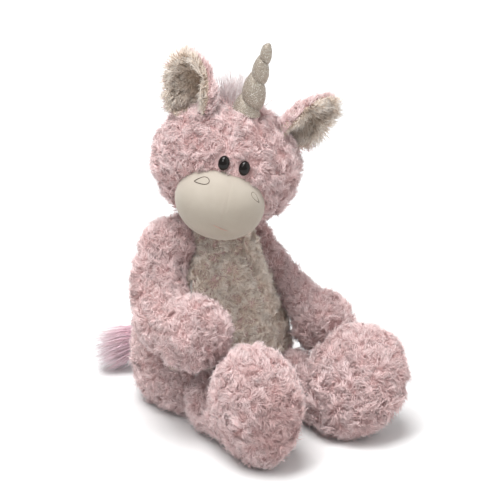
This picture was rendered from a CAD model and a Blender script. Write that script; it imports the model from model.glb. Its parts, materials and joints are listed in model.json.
"""The looks of a seated plush unicorn: curly pink pile, smooth muzzle, glitter horn, long mane and tail hair.

Each plush part is built in two steps. A backing, the woven cloth under the pile, is remeshed over the part's stuffing.
Then thousands of small tapered locks of pile are rooted on that backing and gathered into curls.
Everything is in metres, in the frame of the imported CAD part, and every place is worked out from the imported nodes.
"""

import json
import math

import bmesh
import bpy
import numpy as np
from mathutils import Matrix, Vector
from mathutils.bvhtree import BVHTree
from mathutils.kdtree import KDTree


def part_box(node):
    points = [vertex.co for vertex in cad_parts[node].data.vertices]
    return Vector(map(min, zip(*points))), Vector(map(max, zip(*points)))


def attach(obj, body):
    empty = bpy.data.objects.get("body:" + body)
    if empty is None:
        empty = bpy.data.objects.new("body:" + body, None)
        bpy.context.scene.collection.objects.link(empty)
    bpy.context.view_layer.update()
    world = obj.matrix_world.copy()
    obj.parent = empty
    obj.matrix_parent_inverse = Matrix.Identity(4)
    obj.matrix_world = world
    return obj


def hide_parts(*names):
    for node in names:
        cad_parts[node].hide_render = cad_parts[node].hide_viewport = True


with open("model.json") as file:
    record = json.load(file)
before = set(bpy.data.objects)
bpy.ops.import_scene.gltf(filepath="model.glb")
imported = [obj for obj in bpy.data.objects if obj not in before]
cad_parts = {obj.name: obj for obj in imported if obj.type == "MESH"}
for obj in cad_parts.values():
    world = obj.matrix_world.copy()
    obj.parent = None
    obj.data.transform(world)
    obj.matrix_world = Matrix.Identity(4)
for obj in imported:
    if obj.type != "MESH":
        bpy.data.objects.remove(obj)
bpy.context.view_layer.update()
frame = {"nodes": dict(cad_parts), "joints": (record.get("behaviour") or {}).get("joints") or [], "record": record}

MM = 0.001
SIDES = ("right", "left")
BAKE_UV = "OFBake"  # the exporter bakes colours into this layer as it is


# ----------------------------------------------------------
# Numbers, frames and places
# ----------------------------------------------------------


def unit(v):
    """Vectors of length 1 with the directions of these."""
    v = np.asarray(v, float)
    return v / np.maximum(np.linalg.norm(v, axis=-1, keepdims=True), 1e-12)


def node_points(name):
    """The vertices of a CAD node."""
    mesh = frame["nodes"][name].data
    co = np.empty(len(mesh.vertices) * 3, np.float32)
    mesh.vertices.foreach_get("co", co)
    return co.reshape(-1, 3).astype(float)


def joint(name):
    """A joint's place and the direction of its axis."""
    found = next(j for j in frame["joints"] if j["name"] == name)
    return np.array(found["pos_m"], float), unit(found["axis"])


def turned(lateral):
    """A frame, as columns, whose X is the given direction and whose Y is level."""
    x = unit(lateral)
    y = unit([-x[1], x[0], 0.0])
    return np.stack([x, y, np.cross(x, y)], axis=1)


def hull_points(name):
    """The vertices of a CAD node that lie on its convex hull."""
    bm = bmesh.new()
    bm.from_mesh(frame["nodes"][name].data)
    result = bmesh.ops.convex_hull(bm, input=bm.verts, use_existing_faces=False)
    inside = {v for v in result["geom_interior"] if isinstance(v, bmesh.types.BMVert)}
    points = np.array([v.co[:] for v in bm.verts if v not in inside])
    bm.free()
    return points


def fitted_ellipsoid(name, axes):
    """Centre and half sizes of the ellipsoid that the outside of a node lies on, with its axes along a frame's."""
    local = hull_points(name) @ axes
    middle = local.mean(0)
    q = local - middle
    rows = np.hstack([q**2, q])
    a = np.linalg.lstsq(rows, np.ones(len(q)), rcond=None)[0]
    shift = -a[3:] / (2 * a[:3])
    level = 1 + (a[:3] * shift**2).sum()
    return axes @ (middle + shift), np.sqrt(level / a[:3])


class Waves:
    """A smooth seeded noise in space: a sum of plane waves of about the given wavelength, from about -1 to 1."""

    def __init__(self, seed, wavelength, count=14, outputs=1):
        rng = np.random.default_rng(seed)
        directions = unit(rng.normal(size=(outputs, count, 3)))
        lengths = wavelength * rng.uniform(0.7, 1.5, (outputs, count, 1))
        self.k = directions * 2 * math.pi / lengths
        self.phase = rng.uniform(0, 2 * math.pi, (outputs, count))
        self.scale = 0.8 * math.sqrt(2 / count)

    def __call__(self, points):
        waves = [np.sin(points @ k.T + p).sum(1) * self.scale for k, p in zip(self.k, self.phase)]
        return waves[0] if len(waves) == 1 else np.stack(waves, axis=1)


# ----------------------------------------------------------
# Materials
# ----------------------------------------------------------


class Shader:
    """A short way to write one material's nodes."""

    def __init__(self, name, roughness=0.8, sheen=0.0, sheen_tint=(1, 1, 1), specular=0.3, metallic=0.0, coat=0.0):
        self.material = bpy.data.materials.new(name)
        self.material.use_nodes = True
        self.tree = self.material.node_tree
        self.principled = self.tree.nodes["Principled BSDF"]
        p = self.principled.inputs
        p["Roughness"].default_value = roughness
        p["Sheen Weight"].default_value = sheen
        p["Sheen Roughness"].default_value = 0.5
        p["Sheen Tint"].default_value = (*sheen_tint, 1)
        p["Specular IOR Level"].default_value = specular
        p["Metallic"].default_value = metallic
        p["Coat Weight"].default_value = coat
        p["Coat Roughness"].default_value = 0.03

    def node(self, kind, **settings):
        node = self.tree.nodes.new(kind)
        for key, value in settings.items():
            setattr(node, key, value)
        return node

    def link(self, a, b):
        self.tree.links.new(a, b)

    def ramp(self, factor, stops, interpolation="LINEAR"):
        node = self.node("ShaderNodeValToRGB")
        elements = node.color_ramp.elements
        node.color_ramp.interpolation = interpolation
        while len(elements) < len(stops):
            elements.new(0.5)
        for element, (position, colour) in zip(elements, stops):
            element.position = position
            element.color = (*colour, 1)
        self.link(factor, node.inputs["Fac"])
        return node.outputs["Color"]

    def noise(self, scale, detail=3.0):
        node = self.node("ShaderNodeTexNoise")
        node.inputs["Scale"].default_value = scale
        node.inputs["Detail"].default_value = detail
        self.link(self.node("ShaderNodeTexCoord").outputs["Object"], node.inputs["Vector"])
        return node.outputs["Fac"]

    def voronoi(self, scale, output="Color"):
        node = self.node("ShaderNodeTexVoronoi")
        node.inputs["Scale"].default_value = scale
        self.link(self.node("ShaderNodeTexCoord").outputs["Object"], node.inputs["Vector"])
        return node.outputs[output]

    def mix(self, factor, a, b, blend="MIX"):
        node = self.node("ShaderNodeMix", data_type="RGBA", blend_type=blend)
        for value, socket in ((factor, node.inputs["Factor"]), (a, node.inputs[6]), (b, node.inputs[7])):
            if isinstance(value, bpy.types.NodeSocket):
                self.link(value, socket)
            elif isinstance(value, (int, float)):
                socket.default_value = value
            else:
                socket.default_value = (*value, 1)
        return node.outputs[2]

    def bump(self, height, depth, strength=1.0):
        node = self.node("ShaderNodeBump")
        node.inputs["Strength"].default_value = strength
        node.inputs["Distance"].default_value = depth
        self.link(height, node.inputs["Height"])
        self.link(node.outputs["Normal"], self.principled.inputs["Normal"])

    def colour(self, socket):
        self.link(socket, self.principled.inputs["Base Color"])
        return self.material


def pile_material(name, along, tint, sheen, sheen_tint):
    """Pile or hair: its colour goes from root to tip with V, and differs from lock to lock with U."""
    s = Shader(name, roughness=0.85, sheen=sheen, sheen_tint=sheen_tint, specular=0.15)
    uv = s.node("ShaderNodeUVMap", uv_map=BAKE_UV)
    split = s.node("ShaderNodeSeparateXYZ")
    s.link(uv.outputs["UV"], split.inputs["Vector"])
    root_to_tip = s.ramp(split.outputs["Y"], along)
    lock_to_lock = s.ramp(split.outputs["X"], tint)
    return s.colour(s.mix(1.0, root_to_tip, lock_to_lock, "MULTIPLY"))


def cloth_material(name, dark, light, scale, depth, roughness=0.85, sheen=0.2, sheen_tint=(1, 1, 1)):
    """Plain cloth or felted fibre: a fine mottle of two near colours, with the same mottle as its bump."""
    s = Shader(name, roughness=roughness, sheen=sheen, sheen_tint=sheen_tint, specular=0.2)
    fine = s.noise(scale)
    s.bump(fine, depth)
    return s.colour(s.ramp(fine, [(0.3, dark), (0.7, light)]))


PINK_ALONG = [
    (0.00, (0.80, 0.555, 0.545)),
    (0.40, (0.87, 0.655, 0.645)),
    (0.75, (0.92, 0.745, 0.735)),
    (1.00, (0.96, 0.865, 0.86)),
]
BELLY_ALONG = [
    (0.00, (0.80, 0.66, 0.55)),
    (0.40, (0.90, 0.78, 0.68)),
    (0.75, (0.96, 0.88, 0.80)),
    (1.00, (0.99, 0.95, 0.90)),
]
LINING_ALONG = [
    (0.00, (0.72, 0.56, 0.43)),
    (0.40, (0.88, 0.75, 0.64)),
    (0.75, (0.96, 0.88, 0.80)),
    (1.00, (0.99, 0.95, 0.90)),
]
TAIL_ALONG = [
    (0.00, (0.98, 0.58, 0.71)),
    (0.50, (0.99, 0.71, 0.82)),
    (1.00, (0.99, 0.91, 0.95)),
]
MANE_ALONG = [
    (0.00, (0.99, 0.90, 0.905)),
    (0.50, (0.99, 0.94, 0.945)),
    (1.00, (0.99, 0.97, 0.975)),
]
WHITE = (1.0, 1.0, 1.0)
TINT = [(0.0, (0.74, 0.60, 0.585)), (0.35, (0.89, 0.83, 0.82)), (0.65, (0.98, 0.965, 0.96)), (1.0, WHITE)]
BELLY_TINT = [(0.0, (0.80, 0.72, 0.66)), (0.35, (0.92, 0.88, 0.85)), (0.65, (0.99, 0.98, 0.97)), (1.0, WHITE)]
LINING_TINT = [(0.0, (0.30, 0.24, 0.19)), (0.35, (0.66, 0.59, 0.53)), (0.75, (0.96, 0.95, 0.94)), (1.0, WHITE)]

PILES = {
    "pink_plush": (PINK_ALONG, TINT, 0.35, (1.0, 0.86, 0.88)),
    "cream_plush": (BELLY_ALONG, BELLY_TINT, 0.35, (1.0, 0.95, 0.86)),
    "lining_plush": (LINING_ALONG, LINING_TINT, 0.35, (1.0, 0.95, 0.86)),
    "long_pink_hair": (TAIL_ALONG, TINT, 0.2, (1.0, 0.9, 0.95)),
    "mane_hair": (MANE_ALONG, TINT, 0.2, (1.0, 0.9, 0.95)),
}
CLOTHS = {
    "pink_backing": ((0.62, 0.42, 0.41), (0.74, 0.53, 0.52), 900, 0.2 * MM),
    "cream_backing": ((0.52, 0.42, 0.34), (0.66, 0.55, 0.46), 900, 0.2 * MM),
    "stuffing": ((0.75, 0.75, 0.73), (0.92, 0.92, 0.90), 260, 0.8 * MM),
    "pouch_cloth": ((0.62, 0.60, 0.54), (0.78, 0.76, 0.70), 700, 0.2 * MM),
    "washer_plastic": ((0.80, 0.80, 0.78), (0.86, 0.86, 0.84), 500, 0.02 * MM, 0.4, 0.0),
    "rose_thread": ((0.42, 0.22, 0.18), (0.56, 0.33, 0.28), 2500, 0.1 * MM, 0.6),
    "dark_thread": ((0.045, 0.03, 0.022), (0.10, 0.07, 0.05), 2500, 0.1 * MM, 0.5),
}
MATERIAL = {name: pile_material(name, *looks) for name, looks in PILES.items()}
MATERIAL.update({name: cloth_material(name, *looks) for name, looks in CLOTHS.items()})


def velour_material():
    """Smooth velour: a broad and a fine mottle, darker towards the underside, where its nap lies the other way."""
    s = Shader("cream_velour", roughness=0.75, sheen=0.3, sheen_tint=(1.0, 0.96, 0.9), specular=0.15)
    broad = s.noise(45, 2.0)
    fine = s.noise(2600, 2.0)
    s.bump(fine, 0.12 * MM, 0.7)
    tone = s.ramp(broad, [(0.25, (0.455, 0.405, 0.345)), (0.75, (0.505, 0.455, 0.392))])
    nap = s.ramp(fine, [(0.3, (0.93, 0.92, 0.91)), (0.7, (1.0, 1.0, 1.0))])
    split = s.node("ShaderNodeSeparateXYZ")
    s.link(s.node("ShaderNodeTexCoord").outputs["Object"], split.inputs["Vector"])
    low, high = (corner[2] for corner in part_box("muzzle_skin"))
    level = s.node("ShaderNodeMapRange")
    level.inputs["From Min"].default_value = low
    level.inputs["From Max"].default_value = high
    s.link(split.outputs["Z"], level.inputs["Value"])
    stops = [(0.15, (0.76, 0.74, 0.71)), (0.55, (0.82, 0.81, 0.79)), (0.95, WHITE)]
    lay = s.ramp(level.outputs["Result"], stops)
    return s.colour(s.mix(1.0, s.mix(1.0, tone, nap, "MULTIPLY"), lay, "MULTIPLY"))


def glitter_material():
    """Lurex cloth: champagne threads with bright metal flecks that each face their own way."""
    s = Shader("glitter_cloth", roughness=0.5, metallic=0.25, specular=0.4, sheen=0.15)
    flecks = s.voronoi(2100)
    split = s.node("ShaderNodeSeparateColor")
    s.link(flecks, split.inputs["Color"])
    stops = [
        (0.0, (0.27, 0.225, 0.18)),
        (0.4, (0.36, 0.31, 0.255)),
        (0.8, (0.46, 0.41, 0.34)),
        (0.95, (0.85, 0.82, 0.75)),
    ]
    tone = s.ramp(split.outputs["Red"], stops, "CONSTANT")
    s.bump(split.outputs["Green"], 0.10 * MM, 0.6)
    return s.colour(tone)


def eye_material():
    s = Shader("black_eye", roughness=0.06, specular=0.28)
    depth = s.noise(120, 2.0)
    return s.colour(s.ramp(depth, [(0.3, (0.004, 0.003, 0.003)), (0.7, (0.010, 0.007, 0.006))]))


def silver_thread_material():
    s = Shader("silver_thread", roughness=0.6, metallic=0.2, specular=0.3)
    twist = s.voronoi(2200, "Distance")
    s.bump(twist, 0.1 * MM)
    return s.colour(s.ramp(twist, [(0.2, (0.06, 0.048, 0.038)), (0.8, (0.14, 0.12, 0.10))]))


MATERIAL["cream_velour"] = velour_material()
MATERIAL["glitter_cloth"] = glitter_material()
MATERIAL["black_eye"] = eye_material()
MATERIAL["silver_thread"] = silver_thread_material()


# ----------------------------------------------------------
# Meshes and pieces
# ----------------------------------------------------------


def add_object(name, data):
    """A new object in the scene, with a mesh, a curve, a light or a camera as its data."""
    obj = bpy.data.objects.new(name, data)
    bpy.context.scene.collection.objects.link(obj)
    return obj


def triangle_mesh(name, points, triangles, uv=None):
    """A smooth mesh from arrays. uv holds one pair for each point."""
    mesh = bpy.data.meshes.new(name)
    mesh.vertices.add(len(points))
    mesh.vertices.foreach_set("co", np.ascontiguousarray(points, np.float32).ravel())
    mesh.loops.add(triangles.size)
    mesh.loops.foreach_set("vertex_index", np.ascontiguousarray(triangles, np.int32).ravel())
    mesh.polygons.add(len(triangles))
    mesh.polygons.foreach_set("loop_start", np.arange(0, triangles.size, 3, dtype=np.int32))
    mesh.polygons.foreach_set("use_smooth", np.ones(len(triangles), bool))
    if uv is not None:
        layer = mesh.uv_layers.new(name=BAKE_UV)
        layer.data.foreach_set("uv", uv[triangles.ravel()].astype(np.float32).ravel())
    mesh.update(calc_edges=True)
    return mesh


def finish_piece(obj, body, material, replaces=()):
    """Gives a piece its material, the body that it rides on and the CAD nodes that it stands for."""
    obj.data.materials.clear()
    obj.data.materials.append(MATERIAL[material])
    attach(obj, body)
    if replaces:
        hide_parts(*replaces)
    return obj


def applied(obj):
    """The object's mesh with its modifiers applied. The object and its first mesh are removed."""
    bpy.context.view_layer.update()
    evaluated = obj.evaluated_get(bpy.context.evaluated_depsgraph_get())
    mesh = bpy.data.meshes.new_from_object(evaluated)
    old = obj.data
    bpy.data.objects.remove(obj)
    bpy.data.meshes.remove(old)
    return mesh


def mesh_arrays(mesh):
    """Vertex places, vertex normals and triangles."""
    mesh.calc_loop_triangles()
    co = np.empty(len(mesh.vertices) * 3, np.float32)
    normals = np.empty(len(mesh.vertices) * 3, np.float32)
    triangles = np.empty(len(mesh.loop_triangles) * 3, np.int32)
    mesh.vertices.foreach_get("co", co)
    mesh.vertex_normals.foreach_get("vector", normals)
    mesh.loop_triangles.foreach_get("vertices", triangles)
    return co.reshape(-1, 3).astype(float), normals.reshape(-1, 3).astype(float), triangles.reshape(-1, 3)


def move_vertices(mesh, co):
    """Puts a mesh's vertices at new places."""
    mesh.vertices.foreach_set("co", np.ascontiguousarray(co, np.float32).ravel())
    mesh.update()


LUMPS = Waves(seed=3, wavelength=38 * MM)
SMALL_LUMPS = Waves(seed=4, wavelength=16 * MM)
CLOTH_PROUD = 1.2  # how far the cloth stands off the stuffing, and the heights of its lumps, in millimetres
LUMP_HEIGHT = 0.9
SMALL_LUMP_HEIGHT = 0.5
LEAST_PROUD = 0.5


def backing(name, nodes, voxel=3.5, sunk=0.0, smooth=6, lumps=1.0, hull=False):
    """The cloth under the pile: one closed form a little proud of the stuffing, as uneven as soft stuffing is.

    sunk says how far under the surface of the given nodes the stuffing is, in millimetres.
    """
    bm = bmesh.new()
    for node in nodes:
        bm.from_mesh(frame["nodes"][node].data)
    if hull:
        result = bmesh.ops.convex_hull(bm, input=bm.verts, use_existing_faces=False)
        inner = [v for v in result["geom_interior"] if isinstance(v, bmesh.types.BMVert)]
        bmesh.ops.delete(bm, geom=inner, context="VERTS")
    mesh = bpy.data.meshes.new(name)
    bm.to_mesh(mesh)
    bm.free()
    obj = add_object(name + "_work", mesh)
    remesh = obj.modifiers.new("remesh", "REMESH")
    remesh.mode = "VOXEL"
    remesh.voxel_size = voxel * MM
    soften = obj.modifiers.new("smooth", "SMOOTH")
    soften.factor = 0.5
    soften.iterations = smooth
    mesh = applied(obj)
    mesh.name = name
    co, normals, _ = mesh_arrays(mesh)
    unevenness = LUMP_HEIGHT * LUMPS(co) + SMALL_LUMP_HEIGHT * SMALL_LUMPS(co)
    swell = np.maximum(CLOTH_PROUD + lumps * unevenness, LEAST_PROUD) - sunk
    move_vertices(mesh, co + normals * swell[:, None] * MM)
    mesh.polygons.foreach_set("use_smooth", np.ones(len(mesh.polygons), bool))
    return add_object(name, mesh)


def surface_tree(obj):
    """A search tree of a piece's surface."""
    mesh = obj.data
    return BVHTree.FromPolygons([v.co for v in mesh.vertices], [p.vertices[:] for p in mesh.polygons])


SEARCH_RANGE = 30 * MM


def facing_closely(points, normals, tree, reach):
    """Which points lie inside another form, or look straight at it from nearer than reach."""
    found = np.zeros(len(points), bool)
    for i, point in enumerate(points):
        place, normal, _, distance = tree.find_nearest(Vector(point), SEARCH_RANGE)
        if place is None:
            continue
        towards = place - Vector(point)
        inside = towards.dot(normal) > 0
        looks = towards.dot(Vector(normals[i])) > 0.5 * distance
        found[i] = inside or (looks and distance < reach)
    return found


# ----------------------------------------------------------
# Pile and hair
# ----------------------------------------------------------

LEAN = Waves(seed=11, wavelength=17 * MM, outputs=3)
RUFFLE = Waves(seed=13, wavelength=7 * MM, outputs=3)
LENGTH = Waves(seed=12, wavelength=30 * MM)
CLUMP = Waves(seed=14, wavelength=10 * MM)
CURL = Waves(seed=15, wavelength=10 * MM)
LOCK_STEPS = np.array([0.0, 0.5, 1.0])
LOCK_SIDES = 3
LOCKS_A_PIECE = 20000
FLOOR_CLEARANCE = 0.4 * MM  # pile is pressed flat where the toy rests on the floor


def scatter(mesh, per_mm2, rng):
    """Roots spread evenly over a mesh, with the surface normal at each."""
    co, normals, triangles = mesh_arrays(mesh)
    a, b, c = (co[triangles[:, i]] for i in range(3))
    area = 0.5 * np.linalg.norm(np.cross(b - a, c - a), axis=1)
    count = int(area.sum() / MM**2 * per_mm2)
    chosen = rng.choice(len(area), size=count, p=area / area.sum())
    u, v = rng.random((2, count, 1))
    flip = u + v > 1
    u, v = np.where(flip, 1 - u, u), np.where(flip, 1 - v, v)
    w = 1 - u - v
    corner = triangles[chosen]
    points = w * co[corner[:, 0]] + u * co[corner[:, 1]] + v * co[corner[:, 2]]
    upward = w * normals[corner[:, 0]] + u * normals[corner[:, 1]] + v * normals[corner[:, 2]]
    return points, unit(upward)


def gathered(points, normals, locks_a_curl, rng):
    """Groups roots into curls of about the same size: each root's curl, and each curl's middle and normal."""
    count = max(1, len(points) // locks_a_curl)
    centres = points[rng.permutation(len(points))[:count]]
    for _ in range(3):
        tree = KDTree(len(centres))
        for i, centre in enumerate(centres):
            tree.insert(centre, i)
        tree.balance()
        owner = np.array([tree.find(p)[1] for p in points])
        size = np.maximum(np.bincount(owner, minlength=len(centres)), 1)[:, None]
        sums = np.stack([np.bincount(owner, points[:, k], len(centres)) for k in range(3)], axis=1)
        centres = np.where(size > 1, sums / size, centres)
    upward = np.stack([np.bincount(owner, normals[:, k], len(centres)) for k in range(3)], axis=1)
    return owner, centres, unit(upward + 1e-9)


def tapered(paths, widths, across, tints, name, body, material):
    """Makes lock meshes along paths of shape (locks, steps, 3), in pieces of a limited size. Returns the pieces."""
    locks, steps, _ = paths.shape
    along = unit(np.gradient(paths, axis=1))
    side = unit(np.cross(along, across[:, None, :]))
    other = np.cross(along, side)
    rings = steps - 1
    v = np.linspace(0, 1, steps)
    points = np.empty((locks, rings * LOCK_SIDES + 1, 3))
    uv = np.empty((locks, rings * LOCK_SIDES + 1, 2))
    uv[:, :, 0] = tints[:, None]
    for ring in range(rings):
        for k in range(LOCK_SIDES):
            angle = 2 * math.pi * k / LOCK_SIDES
            spoke = math.cos(angle) * side[:, ring] + math.sin(angle) * other[:, ring]
            points[:, ring * LOCK_SIDES + k] = paths[:, ring] + widths[:, ring, None] * spoke
            uv[:, ring * LOCK_SIDES + k, 0] += 0.02 * k
        uv[:, ring * LOCK_SIDES : (ring + 1) * LOCK_SIDES, 1] = v[ring]
    points[:, -1] = paths[:, -1]
    uv[:, -1, 1] = 1.0
    uv = np.clip(uv, 0.01, 0.99)
    faces = []
    for ring in range(rings - 1):
        for k in range(LOCK_SIDES):
            a, b = ring * LOCK_SIDES + k, ring * LOCK_SIDES + (k + 1) % LOCK_SIDES
            faces += [[a, b, b + LOCK_SIDES], [a, b + LOCK_SIDES, a + LOCK_SIDES]]
    last = (rings - 1) * LOCK_SIDES
    faces += [[last + k, last + (k + 1) % LOCK_SIDES, rings * LOCK_SIDES] for k in range(LOCK_SIDES)]
    faces = np.array(faces)
    pieces = []
    for part, start in enumerate(range(0, locks, LOCKS_A_PIECE)):
        some = slice(start, start + LOCKS_A_PIECE)
        count = len(points[some])
        shifts = (np.arange(count) * points.shape[1])[:, None, None]
        triangles = (faces[None] + shifts).reshape(-1, 3)
        mesh = triangle_mesh(f"{name}_{part + 1}", points[some].reshape(-1, 3), triangles, uv[some].reshape(-1, 2))
        pieces.append(finish_piece(add_object(mesh.name, mesh), body, material))
    return pieces


def pile(
    name,
    body,
    mesh,
    slot,
    seed,
    material=None,
    keep=None,
    size=None,
    nap=None,
    per_mm2=1.15,
    locks_a_curl=30,
    length=9.5,
    width=0.34,
    rise=0.52,
    spread=0.62,
    ruffle=0.6,
    curl=0.35,
    gather=0.22,
    shade=None,
):
    """Curly pile on a backing. keep says which roots grow and size gives a length factor, from (points, normals).

    nap gives the way that the pile is brushed and shade how light it is, where 1 is lightest, both from the points.
    """
    rng = np.random.default_rng(seed)
    points, normals = scatter(mesh, per_mm2, rng)
    if keep is not None:
        kept = keep(points, normals)
        points, normals = points[kept], normals[kept]
    factor = np.ones(len(points)) if size is None else size(points, normals)
    owner, centre, upward = gathered(points, normals, locks_a_curl, rng)
    n = unit(normals + 0.5 * upward[owner])
    field = LEAN(points) + ruffle * RUFFLE(points)
    if nap is not None:
        field = 0.5 * field + nap(points)
    field += 0.22 * rng.normal(size=(len(points), 3))
    l = unit(field - (field * n).sum(1, keepdims=True) * n)
    clump = CLUMP(points)
    tone = 0.55 + 0.30 * clump + 0.12 * LUMPS(points) + 0.12 * rng.normal(size=len(points))

    sideways = np.cross(n, l)
    offset = points - centre[owner]
    flat = offset - (offset * n).sum(1, keepdims=True) * n
    own = length * MM * (1 + 0.10 * LENGTH(points) + 0.30 * clump) * factor * rng.uniform(0.75, 1.12, len(points))
    bow = curl * CURL(points) + 0.10 * rng.normal(size=len(points))
    jitter = rng.normal(size=(len(points), 3))
    paths = np.empty((len(points), len(LOCK_STEPS), 3))
    for i, t in enumerate(LOCK_STEPS):
        up = own[:, None] * rise * math.sin(t * math.pi * 0.56)
        over = own[:, None] * spread * t**1.8
        aside = (own * bow * math.sin(t * math.pi * 0.8))[:, None]
        sway = own[:, None] * 0.13 * t * jitter
        root = points - normals * (1.0 - t) * 1.0 * MM
        paths[:, i] = root - flat * gather * t + n * up + l * over + sideways * aside + sway
    taper = np.array([1.0, 1.0, 0.0])
    widths = width * MM * taper[None, :] * rng.uniform(0.75, 1.25, (len(points), 1)) * np.sqrt(factor)[:, None]
    tints = np.clip(tone, 0, 0.95)
    if shade is not None:
        tints = np.clip((0.75 + 0.4 * (tints - 0.5)) * shade(points), 0, 0.95)
    paths[:, :, 2] = np.maximum(paths[:, :, 2], FLOOR_CLEARANCE)
    order = np.argsort(owner, kind="stable")
    return tapered(paths[order], widths[order], sideways[order], tints[order], name, body, material or slot)


def hair(name, body, roots, ways, lengths, droop, seed, material, width=0.32, steps=6, wave=0.05):
    """Long straight hair that leaves its roots along ways. droop, a vector, bends it more towards the tip."""
    rng = np.random.default_rng(seed)
    t = np.linspace(0, 1, steps)
    paths = np.empty((len(roots), steps, 3))
    kink = unit(rng.normal(size=(len(roots), 3)))
    phase = rng.uniform(0, 2 * math.pi, len(roots))
    for i, step in enumerate(t):
        bend = np.sin(phase + step * 5.0)[:, None] - np.sin(phase)[:, None]
        paths[:, i] = (
            roots
            + ways * lengths[:, None] * step
            + droop * lengths[:, None] * step**2
            + kink * wave * lengths[:, None] * bend * step
        )
    paths[:, :, 2] = np.maximum(paths[:, :, 2], FLOOR_CLEARANCE)
    taper = np.array([1.0, 1.0, 0.95, 0.85, 0.6, 0.0]) if steps == 6 else np.linspace(1, 0, steps)
    widths = width * MM * taper[None, :] * rng.uniform(0.7, 1.3, (len(roots), 1))
    across = unit(np.cross(ways, rng.normal(size=ways.shape)))
    tints = np.clip(0.5 + 0.3 * rng.normal(size=len(roots)), 0, 0.95)
    return tapered(paths, widths, across, tints, name, body, material)


# ----------------------------------------------------------
# Where the parts are
# ----------------------------------------------------------

NECK_PLACE, HEAD_LATERAL = joint("head_nod")
HEAD = turned(HEAD_LATERAL)  # the head's own left, back and up, as columns
HEAD_CENTRE, HEAD_HALF = fitted_ellipsoid("head_skin", HEAD)
MUZZLE_CENTRE, MUZZLE_HALF = fitted_ellipsoid("muzzle_skin", HEAD)


def in_head(points):
    """Places in the head's own frame."""
    return (np.asarray(points) - HEAD_CENTRE) @ HEAD


def in_muzzle(points):
    """Places in the head's axes from the muzzle's middle, as parts of the muzzle's half sizes."""
    return ((np.asarray(points) - MUZZLE_CENTRE) @ HEAD) / MUZZLE_HALF


def muzzle_point(across, up, proud=0.0):
    """A point on the muzzle's front, from fractions of its half width and half height."""
    front = -math.sqrt(max(0.0, 1 - across**2 - up**2))
    local = np.array([across, front, up])
    normal = unit(HEAD @ (local / MUZZLE_HALF))
    return MUZZLE_CENTRE + HEAD @ (local * MUZZLE_HALF) + normal * proud


def leg_way(side):
    """The level direction from the hip to the sole."""
    _, axis = joint(f"hip_{side}")
    way = unit([axis[0], axis[1], 0.0])
    return way if way[1] < 0 else -way


# ----------------------------------------------------------
# Backings
# ----------------------------------------------------------

base = {
    "torso": backing("torso_backing", ["torso_stuffing"]),
    "neck": backing("neck_backing", ["neck_stuffing"], lumps=0.0),
    "head": backing("head_backing", ["head_skin"], sunk=3.3, hull=True),
    "tail": backing("tail_backing", ["tail_root"], voxel=1.5, sunk=2.5, lumps=0.0, smooth=2),
}
for side in SIDES:
    base[f"arm_{side}"] = backing(f"arm_{side}_backing", [f"arm_stuffing_{side}"], voxel=2.5)
    base[f"leg_{side}"] = backing(f"leg_{side}_backing", [f"leg_stuffing_{side}"], voxel=3.0)

for part, obj in base.items():
    finish_piece(obj, part, "pink_backing")

trees = {part: surface_tree(obj) for part, obj in base.items()}


def clear_of(*others, reach=5 * MM):
    """A test for roots that are not inside these neighbours, and don't face them from close by."""

    def keep(points, normals):
        kept = np.ones(len(points), bool)
        for other in others:
            kept &= ~facing_closely(points, normals, trees[other], reach)
        return kept

    return keep


# ----------------------------------------------------------
# Torso, with its belly panel
# ----------------------------------------------------------

belly_points = node_points("belly_panel")
BELLY_LOW = belly_points[:, 2].min()
angles = np.arctan2(belly_points[:, 0], -belly_points[:, 1])
BELLY_HALF_ANGLE = np.abs(angles).max()
torso_clear = clear_of("arm_right", "arm_left", "leg_right", "leg_left", "neck", "tail")


def on_belly(points):
    """Which points lie on the part of the torso that the belly panel covers."""
    angle = np.abs(np.arctan2(points[:, 0], -points[:, 1]))
    return (angle < BELLY_HALF_ANGLE) & (points[:, 2] > BELLY_LOW)


def pink_torso(points, normals):
    kept = ~on_belly(points)
    kept[kept] = torso_clear(points[kept], normals[kept])
    return kept


def cream_belly(points, normals):
    kept = on_belly(points)
    kept[kept] = torso_clear(points[kept], normals[kept])
    return kept


torso_pile = pile("torso_pile", "torso", base["torso"].data, "pink_plush", 21, keep=pink_torso)
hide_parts("torso_skin")
belly_pile = pile("belly_pile", "torso", base["torso"].data, "cream_plush", 22, keep=cream_belly, length=8.0)
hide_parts("belly_panel")

# ----------------------------------------------------------
# Head and neck
# ----------------------------------------------------------

eye_centres = [sum((np.array(c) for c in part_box(f"eye_{side}")), np.zeros(3)) / 2 for side in SIDES]
BARE_AROUND_EYE = 6.5 * MM
TRIMMED_AROUND_EYE = 17 * MM
head_clear = clear_of("neck")


def head_keep(points, normals):
    """Roots outside the muzzle and the eyes, and clear of the neck."""
    kept = (in_muzzle(points) ** 2).sum(1) > 1.0
    for eye in eye_centres:
        kept &= np.linalg.norm(points - eye, axis=1) > BARE_AROUND_EYE
    kept[kept] = head_clear(points[kept], normals[kept])
    return kept


def head_size(points, normals):
    """Pile is trimmed shorter around the muzzle and the eyes."""
    away = np.sqrt((in_muzzle(points) ** 2).sum(1)) - 1
    size = np.clip(0.55 + away * 2.2, 0.55, 1.0)
    for eye in eye_centres:
        distance = np.linalg.norm(points - eye, axis=1)
        size = np.minimum(size, np.clip(distance / TRIMMED_AROUND_EYE, 0.5, 1.0))
    return size


head_pile = pile(
    "head_pile", "head", base["head"].data, "pink_plush", 31, keep=head_keep, size=head_size, length=8.8
)
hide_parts("head_skin")
pile("neck_pile", "neck", base["neck"].data, "pink_plush", 32, keep=clear_of("torso"), length=6.0)

# ----------------------------------------------------------
# Arms and legs
# ----------------------------------------------------------

SOLE_SHADE = {"right": 0.30, "left": 0.60}  # how light each sole is, where 1 is lightest

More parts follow.
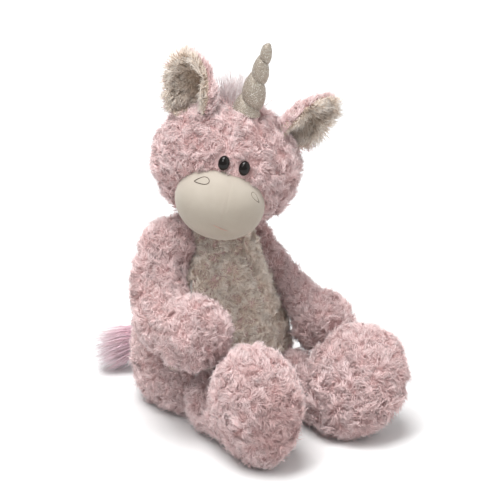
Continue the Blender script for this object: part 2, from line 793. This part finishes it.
for number, side in enumerate(SIDES):
    arm_pile = pile(
        f"arm_{side}_pile",
        f"arm_{side}",
        base[f"arm_{side}"].data,
        "pink_plush",
        41 + number,
        keep=clear_of("torso"),
    )
    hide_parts(f"arm_skin_{side}")

    way = leg_way(side)
    sole_start = (node_points(f"foot_sole_{side}") @ way).min()
    leg_clear = clear_of("torso")

    def upper(points, normals, way=way, start=sole_start, clear=leg_clear):
        kept = points @ way < start
        kept[kept] = clear(points[kept], normals[kept])
        return kept

    def sole(points, normals, way=way, start=sole_start):
        return points @ way >= start

    def sole_shade(points, lightness=SOLE_SHADE[side]):
        return lightness

    leg_base = base[f"leg_{side}"].data
    leg_pile = pile(f"leg_{side}_pile", f"leg_{side}", leg_base, "pink_plush", 51 + number, keep=upper)
    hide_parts(f"leg_skin_{side}")
    sole_pile = pile(
        f"sole_{side}_pile",
        f"leg_{side}",
        leg_base,
        "pink_plush",
        55 + number,
        keep=sole,
        shade=sole_shade,
    )
    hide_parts(f"foot_sole_{side}")

# ----------------------------------------------------------
# Ears
# ----------------------------------------------------------

HOLLOW_SHADE = {"right": 0.12, "left": 0.75}  # how light the middle of each hollow is
EAR_ROWS = 40
EAR_COLUMNS = 40
EAR_THICKNESS = 2.6 * MM
EAR_SUNK = 4 * MM  # how far the leaf starts below the ear's root
EAR_BEYOND = 3 * MM
EAR_LEAN = 8 * MM  # how far the middle of the leaf stands back
EAR_BEND = (112, 62)  # degrees that each half of the leaf curls at its foot, and how much less at its tip


def ear_frame(side):
    """An ear's root, its frame (across, back, along, as columns), its length and its width."""
    root, across = joint(f"ear_{side}_flap")
    points = node_points(f"ear_outer_{side}") - root
    tip = points[np.argmax(np.linalg.norm(points, axis=1))]
    along = unit(tip - (tip @ across) * across)
    axes = np.stack([across, np.cross(along, across), along], axis=1)
    local = points @ axes
    return root, axes, local[:, 2].max(), np.ptp(local[:, 0])


def ear_grid(side, inner):
    """One face of the cupped leaf, as points and outward triangles; the inner face is the hollow one."""
    root, axes, length, width = ear_frame(side)
    along = np.linspace(0, 1, EAR_ROWS)[:, None]
    across = np.linspace(-1, 1, EAR_COLUMNS)[None, :]
    leaf = 0.10 + 0.90 * along
    half = width / 2 * (1 - np.abs(2 * leaf - 1) ** 2.3) ** 0.5 + 1.0 * MM
    bend = np.radians(EAR_BEND[0] - EAR_BEND[1] * along)
    radius = half / np.sin(np.minimum(bend, math.pi / 2))
    inset = EAR_THICKNESS if inner else 0.0
    x = (radius - inset) * np.sin(across * bend)
    y = -radius + (radius - inset) * np.cos(across * bend) + EAR_LEAN * np.sin(math.pi * along) ** 0.5
    z = -EAR_SUNK + (length + EAR_BEYOND - inset) * along + 0 * across
    points = root + np.stack([x, y, z], axis=-1).reshape(-1, 3) @ axes.T
    faces = []
    for row in range(EAR_ROWS - 1):
        for column in range(EAR_COLUMNS - 1):
            a = row * EAR_COLUMNS + column
            b, c, d = a + 1, a + EAR_COLUMNS + 1, a + EAR_COLUMNS
            faces += [[a, c, b], [a, d, c]] if not inner else [[a, b, c], [a, c, d]]
    return points, np.array(faces)


def ear_mesh(side, name, only_lining=False):
    """Both faces of an ear, closed all round its rim, or only its hollow face and its rim."""
    outer, outer_faces = ear_grid(side, inner=False)
    inner, inner_faces = ear_grid(side, inner=True)
    shift = len(outer)
    last = (EAR_ROWS - 1) * EAR_COLUMNS
    rim = list(range(EAR_COLUMNS))
    rim += [row * EAR_COLUMNS + EAR_COLUMNS - 1 for row in range(1, EAR_ROWS)]
    rim += [last + column for column in range(EAR_COLUMNS - 2, -1, -1)]
    rim += [row * EAR_COLUMNS for row in range(EAR_ROWS - 2, 0, -1)]
    closing = []
    for a, b in zip(rim, rim[1:] + rim[:1]):
        closing += [[a, b, b + shift], [a, b + shift, a + shift]]
    faces = [inner_faces + shift, np.array(closing)]
    if not only_lining:
        faces.append(outer_faces)
    return triangle_mesh(name, np.vstack([outer, inner]), np.vstack(faces))


for number, side in enumerate(SIDES):
    root, axes, length, width = ear_frame(side)
    backing_name = f"ear_{side}_backing"
    ear = add_object(backing_name, ear_mesh(side, backing_name))
    finish_piece(ear, f"ear_{side}", "cream_backing")
    outer = triangle_mesh("outer", *ear_grid(side, inner=False))
    inner = ear_mesh(side, "inner", only_lining=True)

    def towards_tip(centres, way=axes[:, 2]):
        return np.tile(1.2 * way, (len(centres), 1))

    def outwards(centres, root=root, axes=axes, length=length):
        middle = root + axes[:, 2] * length * 0.45
        return 2.0 * unit(centres - middle)

    def from_hollow(points, root=root, axes=axes, length=length, width=width):
        """How far a root is from the ear's hollow: 0 in its middle, 1 at the rim."""
        local = (points - root) @ axes
        return np.hypot(local[:, 0] / (0.46 * width), (local[:, 2] - 0.38 * length) / (0.52 * length))

    def hollow_shade(points, away=from_hollow, deepest=HOLLOW_SHADE[side]):
        return np.clip(deepest + 1.4 * away(points) ** 1.5, 0.0, 1.0)

    def rim_size(points, normals, away=from_hollow, root=root, axes=axes, length=length):
        height = (points - root) @ axes[:, 2]
        return np.clip(0.62 + 0.55 * away(points), 0.62, 1.15) * np.clip(0.35 + height / (0.3 * length), 0.35, 1.0)

    pink = pile(
        f"ear_{side}_pile", f"ear_{side}", outer, "pink_plush", 61 + number, nap=towards_tip, length=8.0, per_mm2=1.1
    )
    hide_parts(f"ear_outer_{side}")
    cream = pile(
        f"ear_{side}_lining_pile",
        f"ear_{side}",
        inner,
        "cream_plush",
        65 + number,
        material="lining_plush",
        nap=outwards,
        size=rim_size,
        shade=hollow_shade,
        length=10.5,
        per_mm2=1.2,
        ruffle=0.3,
        curl=0.15,
        rise=0.45,
        spread=0.75,
    )
    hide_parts(f"ear_lining_{side}")
    bpy.data.meshes.remove(outer)
    bpy.data.meshes.remove(inner)

# ----------------------------------------------------------
# Muzzle
# ----------------------------------------------------------

MUZZLE_RINGS = 96
MUZZLE_SPOKES = 144
SEAM_ASIDE = 2.2 * MM
SEAM_WIDTH = 1.2 * MM
SEAM_DEPTH = 0.35 * MM
TUCK_DEPTH = 1.8 * MM  # how far the mouth's stitch pulls the cloth in
MUZZLE_LUMPS = 0.3 * MM
STITCH = 0.7 * MM  # the thickness of the thread on the face


def muzzle_mesh():
    """A smooth velour form with a midline seam that sinks a little, tucked under at the mouth."""
    polar = np.linspace(0, math.pi, MUZZLE_RINGS)[1:-1]
    around = np.linspace(0, 2 * math.pi, MUZZLE_SPOKES, endpoint=False)
    p, a = np.meshgrid(polar, around, indexing="ij")
    ball = np.stack([np.sin(p) * np.cos(a), -np.cos(p), np.sin(p) * np.sin(a)], axis=-1).reshape(-1, 3)
    ball = np.vstack([[0, -1, 0], ball, [0, 1, 0]])
    normal = unit(ball / MUZZLE_HALF)
    x, up = ball[:, 0] * MUZZLE_HALF[0], ball[:, 2]
    front = ball[:, 1] < 0
    seam = np.exp(-(((x - SEAM_ASIDE) / SEAM_WIDTH) ** 2)) * np.clip((up + 0.30) / 0.2, 0, 1) * front
    sink = SEAM_DEPTH * seam
    tuck = np.exp(-(((up + 0.42 + 0.2 * ball[:, 0]) / 0.10) ** 2) - ((ball[:, 0] - 0.08) / 0.28) ** 2)
    sink += TUCK_DEPTH * tuck * front
    local = ball * MUZZLE_HALF + normal * (MUZZLE_LUMPS * LUMPS(ball * MUZZLE_HALF) - sink)[:, None]
    points = MUZZLE_CENTRE + local @ HEAD.T
    rows, spokes = len(polar), MUZZLE_SPOKES
    faces = [[0, 1 + (k + 1) % spokes, 1 + k] for k in range(spokes)]
    for row in range(rows - 1):
        low, high = 1 + row * spokes, 1 + (row + 1) * spokes
        for k in range(spokes):
            nxt = (k + 1) % spokes
            faces += [[low + k, low + nxt, high + nxt], [low + k, high + nxt, high + k]]
    last, end = 1 + (rows - 1) * spokes, len(points) - 1
    faces += [[last + k, last + (k + 1) % spokes, end] for k in range(spokes)]
    return triangle_mesh("muzzle", points, np.array(faces))


muzzle = add_object("muzzle", muzzle_mesh())
finish_piece(muzzle, "head", "cream_velour", ["muzzle_skin"])


def thread(name, points, thickness, material, closed=False):
    """A smooth length of thread through the given points."""
    curve = bpy.data.curves.new(name, "CURVE")
    curve.dimensions = "3D"
    curve.bevel_depth = thickness / 2
    curve.bevel_resolution = 3
    spline = curve.splines.new("NURBS")
    spline.points.add(len(points) - 1)
    for target, point in zip(spline.points, points):
        target.co = (*point, 1)
    spline.use_cyclic_u = closed
    spline.order_u = 3
    spline.use_endpoint_u = not closed
    obj = add_object(name, curve)
    return finish_piece(obj, "head", material)


def teardrop(middle, size, angle, count=14):
    """Points of a drop-shaped loop on the muzzle, in fractions of its half sizes."""
    loop = []
    for k in range(count):
        t = 2 * math.pi * k / count
        x = math.cos(t)
        y = math.sin(t) * (0.62 - 0.38 * x)
        u = size[0] * (x * math.cos(angle) - y * math.sin(angle) * size[1] / size[0])
        v = size[0] * (x * math.sin(angle) + y * math.cos(angle) * size[1] / size[0])
        loop.append(muzzle_point(middle[0] + u, middle[1] + v, 0.15 * MM))
    return loop


# The nostrils lean outwards and down, each with its thin end towards the seam.
nostril_loops = {
    "right": teardrop((-0.57, 0.614), (0.17, 0.095), math.radians(210)),
    "left": teardrop((0.655, 0.53), (0.16, 0.06), math.radians(-46)),
}
for side in SIDES:
    nostril = thread(f"nostril_{side}", nostril_loops[side], STITCH, "dark_thread", closed=True)
    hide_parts(f"nostril_stitch_{side}")

MOUTH_LINE = ((-0.10, -0.37), (0.03, -0.41), (0.16, -0.445), (0.26, -0.45))
mouth_points = [muzzle_point(across, up, -1.3 * MM) for across, up in MOUTH_LINE]
mouth = thread("mouth", mouth_points, STITCH, "rose_thread")
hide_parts("mouth_stitch")

# ----------------------------------------------------------
# Horn
# ----------------------------------------------------------

horn_core = node_points("horn_skin")
horn_axis = unit(np.linalg.svd(horn_core - horn_core.mean(0), full_matrices=False)[2][0])
horn_axis = horn_axis if horn_axis @ HEAD[:, 2] > 0 else -horn_axis
along = (horn_core - horn_core.mean(0)) @ horn_axis
HORN_FOOT = horn_core.mean(0) + horn_axis * along.min()
HORN_LENGTH = np.ptp(along)
HORN_TURNS = (2.07, 1.25)  # the groove's turns up to a share s of the length, as factors of s and of s squared
HORN_SLANT = 0.35  # radians by which the groove runs flatter over the horn's front than over its back
HORN_START = -0.0355  # turns
GROOVE = 0.71  # the groove's radius, as a share of the horn's
PUFF = 0.37  # how much farther out the middle of each turn stands
HORN_CLOTH = 1.0 * MM
HORN_THREAD = 0.9 * MM
HORN_ROWS = 260
HORN_SPOKES = 80
horn_left = unit(np.cross(HEAD[:, 1], horn_axis))
horn_back = np.cross(horn_axis, horn_left)


def horn_radius(s):
    """The CAD horn's radius at a fraction of its length."""
    away = (horn_core - HORN_FOOT) - ((horn_core - HORN_FOOT) @ horn_axis)[:, None] * horn_axis
    radius = np.linalg.norm(away, axis=1)
    level = (along - along.min()) / HORN_LENGTH
    low, high = (radius[np.abs(level - x) < 0.06].max() for x in (0.08, 0.92))
    return low + (high - low) * (s - 0.08) / 0.84


def horn_turns(s):
    """The groove's turns up to a share of the horn's length."""
    return HORN_TURNS[0] * s + HORN_TURNS[1] * s**2 + HORN_START


def horn_lag(a):
    """How far the groove has wound at an angle around the horn, in turns."""
    return (a - HORN_SLANT * np.cos(a)) / (2 * math.pi)


def groove_radius(s):
    """How far the bottom of the groove is from the horn's axis."""
    return GROOVE * horn_radius(s)


def horn_place(s, a, r):
    """A point at a share of the horn's length, an angle around it and a distance from its axis."""
    height = (s - 0.01) * HORN_LENGTH
    out = (r * np.cos(a))[..., None] * horn_left + (r * np.sin(a))[..., None] * horn_back
    return HORN_FOOT + (height + 0 * a)[..., None] * horn_axis + out


def horn_mesh(name, shrink=0.0):
    """The horn's puffed spiral, closed at both ends, or the same form a little smaller."""
    rows, spokes = HORN_ROWS, HORN_SPOKES
    s = np.linspace(0, 1, rows)[:, None]
    a = np.linspace(0, 2 * math.pi, spokes, endpoint=False)[None, :]
    puff = np.abs(np.sin(math.pi * (horn_turns(s) + horn_lag(a)))) ** 0.55
    cap = np.clip((1 - s) / 0.06, 0, 1) ** 0.5
    wrinkle = 0.012 * np.sin(9 * a + 31 * s) * np.sin(5 * a - 47 * s)
    r = np.maximum(groove_radius(s) + horn_radius(s) * (PUFF * puff + wrinkle) - shrink, 0.3 * MM) * cap
    points = horn_place(s, a, r).reshape(-1, 3)
    faces = []
    for row in range(rows - 1):
        for k in range(spokes):
            b, c = row * spokes + (k + 1) % spokes, (row + 1) * spokes + (k + 1) % spokes
            faces += [[row * spokes + k, b, c], [row * spokes + k, c, (row + 1) * spokes + k]]
    faces += [[0, k + 1, k] for k in range(1, spokes - 1)]
    top = (rows - 1) * spokes
    faces += [[top, top + k, top + k + 1] for k in range(1, spokes - 1)]
    return triangle_mesh(name, points, np.array(faces))


horn = add_object("horn", horn_mesh("horn"))
finish_piece(horn, "head", "glitter_cloth", ["horn_skin"])
filling = add_object("horn_filling", horn_mesh("horn_filling", HORN_CLOTH))
finish_piece(filling, "head", "stuffing", ["horn_stuffing"])


def groove_line(steps=150):
    """Points along the bottom of the horn's groove, from its foot to its tip."""
    most_turns, samples = 5, 4000
    angles = np.linspace(0, -2 * math.pi * most_turns, samples)
    heights = np.linspace(0.0, 1.0, samples)
    levels = np.interp(-horn_lag(angles), horn_turns(heights), heights, left=-1, right=2)
    reached = (levels > 0.03) & (levels < 0.94)
    a, s = angles[reached], levels[reached]
    chosen = np.linspace(0, len(a) - 1, steps).astype(int)
    return horn_place(s[chosen], a[chosen], groove_radius(s[chosen]))


horn_cord = thread("horn_spiral", groove_line(), HORN_THREAD, "silver_thread")
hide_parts("horn_thread")

# ----------------------------------------------------------
# Mane and tail
# ----------------------------------------------------------

rng = np.random.default_rng(71)
MANE_STRANDS = 1500
MANE_LENGTH = 46 * MM
mane_centre, mane_half = fitted_ellipsoid("mane", HEAD)
offset = rng.normal(size=(MANE_STRANDS, 2)) * np.array([0.52, 0.55]) - np.array([0.25, 0.0])
roots_local = in_head(mane_centre)[None, :] + np.stack(
    [offset[:, 0] * mane_half[0], offset[:, 1] * mane_half[1], np.zeros(MANE_STRANDS)], axis=1
)
inside = 1 - (roots_local[:, 0] / HEAD_HALF[0]) ** 2 - (roots_local[:, 1] / HEAD_HALF[1]) ** 2
roots_local[:, 2] = HEAD_HALF[2] * np.sqrt(np.maximum(inside, 0.1)) - 4 * MM
ways_local = unit(np.stack([offset[:, 0] * 0.5 + 0.05, offset[:, 1] * 0.5 + 0.1, np.ones(MANE_STRANDS)], axis=1))
lengths = MANE_LENGTH * (0.35 + 0.65 * rng.random(MANE_STRANDS) ** 2.2)
mane = hair(
    "mane_hair",
    "head",
    HEAD_CENTRE + roots_local @ HEAD.T,
    ways_local @ HEAD.T,
    lengths,
    np.array([0.0, 0.0, -0.10]),
    72,
    "mane_hair",
    width=0.17,
    wave=0.09,
)
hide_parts("mane")

tail_pile = pile(
    "tail_root_pile", "tail", base["tail"].data, "pink_plush", 81, length=6.0, per_mm2=0.5, keep=clear_of("torso")
)
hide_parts("tail_root")
tail_points = node_points("tail_hair")
TAIL_PLACE, _ = joint("tail_swing")
tail_away = tail_points - TAIL_PLACE
tail_way = unit(tail_away.mean(0))
TAIL_LENGTH = (tail_away @ tail_way).max()
TAIL_STRANDS = 2200
TAIL_TUFT = 6 * MM  # the radius of the tuft's root, and how far it is from the joint
spread = unit(rng.normal(size=(TAIL_STRANDS, 3)))
spread -= (spread @ tail_way)[:, None] * tail_way
roots = TAIL_PLACE + tail_way * TAIL_TUFT + spread * TAIL_TUFT * rng.random((TAIL_STRANDS, 1)) ** 0.5
tail_spread = spread * np.array([0.42, 0.20, 0.40]) * rng.random((TAIL_STRANDS, 1)) ** 0.7
ways = unit(tail_way + np.array([-0.12, -0.08, -0.08]) + tail_spread)
lengths = (TAIL_LENGTH - TAIL_TUFT) * rng.uniform(0.6, 1.12, TAIL_STRANDS)
tail = hair(
    "tail_hair_strands",
    "tail",
    roots,
    ways,
    lengths,
    np.array([0.0, 0.0, -0.06]),
    73,
    "long_pink_hair",
    width=0.22,
)
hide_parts("tail_hair")

# ----------------------------------------------------------
# CAD nodes that stay as they are
# ----------------------------------------------------------

slots = {part["node"]: part["material_slot"] for part in frame["record"]["subparts"]}
for name, obj in frame["nodes"].items():
    if not obj.hide_render:
        obj.data.materials.clear()
        obj.data.materials.append(MATERIAL[slots[name]])

# ----------------------------------------------------------
# Floor, light and camera
# ----------------------------------------------------------

floor_shader = Shader("floor", roughness=0.9, specular=0.1)
floor_tone = floor_shader.noise(3.0, 2.0)
floor_stops = [(0.3, (0.80, 0.80, 0.80)), (0.7, (0.82, 0.82, 0.82))]
floor_material = floor_shader.colour(floor_shader.ramp(floor_tone, floor_stops))
FLOOR_HALF = 8.0
floor_mesh = bpy.data.meshes.new("floor")
floor_corners = [(x * FLOOR_HALF, y * FLOOR_HALF, 0) for x, y in ((-1, -1), (1, -1), (1, 1), (-1, 1))]
floor_mesh.from_pydata(floor_corners, [], [(0, 1, 2, 3)])
floor_mesh.materials.append(floor_material)
floor = add_object("floor", floor_mesh)

world = bpy.data.worlds.new("studio")
world.use_nodes = True
background = world.node_tree.nodes["Background"].inputs
background["Color"].default_value = (*WHITE, 1)
background["Strength"].default_value = 0.45
bpy.context.scene.world = world

AZIMUTH = math.radians(-33)
ELEVATION = math.radians(20)
CAMERA_DISTANCE = 2.0
back = np.array(
    [
        math.sin(AZIMUTH) * math.cos(ELEVATION),
        -math.cos(AZIMUTH) * math.cos(ELEVATION),
        math.sin(ELEVATION),
    ]
)
right = np.array([math.cos(AZIMUTH), math.sin(AZIMUTH), 0.0])
up = np.cross(back, right)
LOOK_AT = np.array([0.0325, -0.0219, 0.1575])


def add_light(name, kind, away, energy):
    """A light that shines against the direction away."""
    light = bpy.data.lights.new(name, kind)
    light.energy = energy
    obj = add_object(name, light)
    obj.rotation_euler = Vector(away).to_track_quat("Z", "Y").to_euler()
    return obj


def sunlight(name, away, angle, strength):
    """A wide soft light from far off; away points from the object to it."""
    add_light(name, "SUN", away, strength).data.angle = math.radians(angle)


def catch_light(name, place, size, watts):
    """A small square light that shows as the bright spot in the eyes."""
    obj = add_light(name, "AREA", Vector(place) - Vector(LOOK_AT), watts)
    obj.data.shape = "SQUARE"
    obj.data.size = size
    obj.location = Vector(place)


sunlight("key", np.array([0.0, 0.0, 1.0]) - right * 0.18 + back * 0.12, 34, 3.2)
sunlight("fill", right * 1.0 + up * 0.5 + back * 0.3, 70, 0.7)
catch_light("catch", LOOK_AT - right * 0.5 + up * 0.7 + back * 1.2, 0.22, 4.0)

camera = bpy.data.cameras.new("camera")
camera.sensor_width = 36
camera.lens = 144
camera_object = add_object("camera", camera)
camera_object.location = Vector(LOOK_AT + back * CAMERA_DISTANCE)
camera_object.rotation_euler = Matrix(np.stack([right, up, back], axis=1).tolist()).to_euler()
bpy.context.scene.camera = camera_object
bpy.context.scene.view_settings.view_transform = "Standard"
